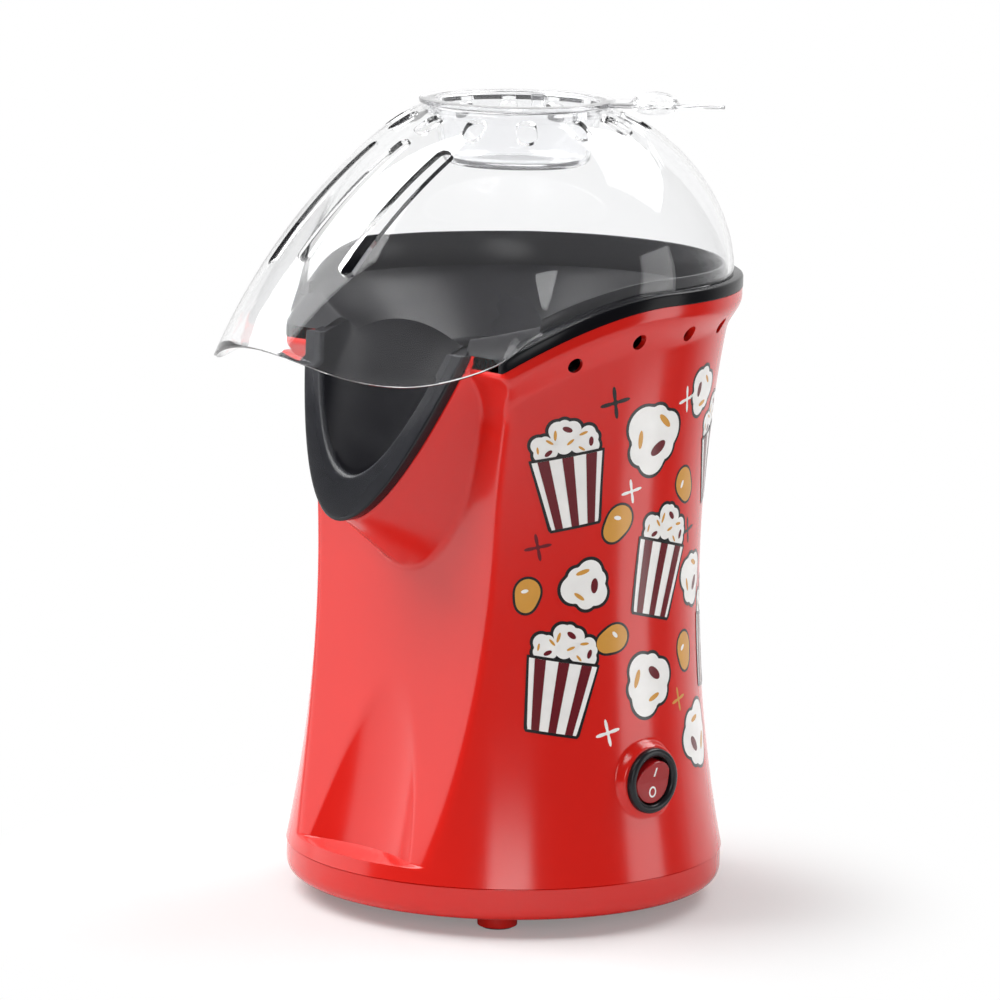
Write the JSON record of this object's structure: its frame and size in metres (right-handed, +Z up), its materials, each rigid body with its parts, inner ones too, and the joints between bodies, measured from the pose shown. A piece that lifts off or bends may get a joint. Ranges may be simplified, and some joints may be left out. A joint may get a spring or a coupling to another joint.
{
  "type": "hot_air_popcorn_maker",
  "caption": "Hot-air popcorn maker with a red waisted body, black front chute, clear slotted hood, clear measuring cup on top and a round rocker switch.",
  "frame": {"origin": "On the standing surface, under the middle of the overall box.", "axes": "+Z up, -Y to the front, where the chute and the hood's lip point, +X towards the switch side."},
  "size_m": [0.1612, 0.2024, 0.2834],
  "materials": {
    "red_plastic": "gloss, smooth moulded",
    "black_plastic": "semi-gloss, smooth moulded",
    "clear_plastic": "clear, gloss",
    "rocker_red": "translucent, gloss",
    "foot_rubber": "matte",
    "aluminium": "drawn, satin",
    "steel": "zinc plated",
    "dark_resin": "moulded, matte",
    "mica": "layered sheet, satin",
    "heater_alloy": "oxidised wire",
    "bronze": "sintered",
    "copper": "enamelled wire",
    "ferrite": "sintered, matte",
    "carbon": "pressed, matte",
    "silicone": "matte",
    "board": "laminate",
    "lamp_glass": "clear"
  },
  "bodies": {
    "housing": {"body_shell": "red_plastic", "chute": "black_plastic", "popping_chamber": "aluminium", "base_plate": "red_plastic", "foot_pads": "foot_rubber", "switch_housing": "black_plastic", "switch_terminals": "bronze", "switch_lamp": "lamp_glass", "fan_housing": "dark_resin", "motor_can": "steel", "motor_endcap": "dark_resin", "motor_bushes": "bronze", "motor_magnets": "ferrite", "motor_brushes": "carbon", "heat_shield": "aluminium", "mica_liner": "mica", "chamber_seal": "silicone", "mica_frame": "mica", "heater_coil": "heater_alloy", "rectifier_board": "board", "rectifier_diodes": "dark_resin", "thermostat": "steel", "thermal_fuse": "aluminium", "cord_gland": "black_plastic", "housing_screws": "steel", "base_screws": "steel", "chamber_screws": "steel", "motor_screws": "steel"},
    "rotor": {"motor_shaft": "steel", "armature_core": "steel", "armature_windings": "copper", "commutator": "copper", "fan_impeller": "dark_resin", "fan_clip": "steel"},
    "rocker": {"switch_rocker": "rocker_red"},
    "cover": {"dome": "clear_plastic"},
    "cup": {"measuring_cup": "clear_plastic"}
  },
  "joints": [
    {"name": "rotor_spin", "type": "hinge", "parent": "housing", "child": "rotor", "pos_m": [0, 0.0207, 0.066], "axis": [0, 0, 1], "continuous": true},
    {"name": "rocker_tilt", "type": "hinge", "parent": "housing", "child": "rocker", "pos_m": [0.074, 0.0207, 0.052], "axis": [0, -1, 0], "range_deg": [0, 20]},
    {"name": "cover_lift", "type": "slide", "parent": "housing", "child": "cover", "axis": [0, 0, 1], "range_m": [0, 0.08]},
    {"name": "cup_lift", "type": "slide", "parent": "cover", "child": "cup", "axis": [0, 0, 1], "range_m": [0, 0.04]}
  ]
}
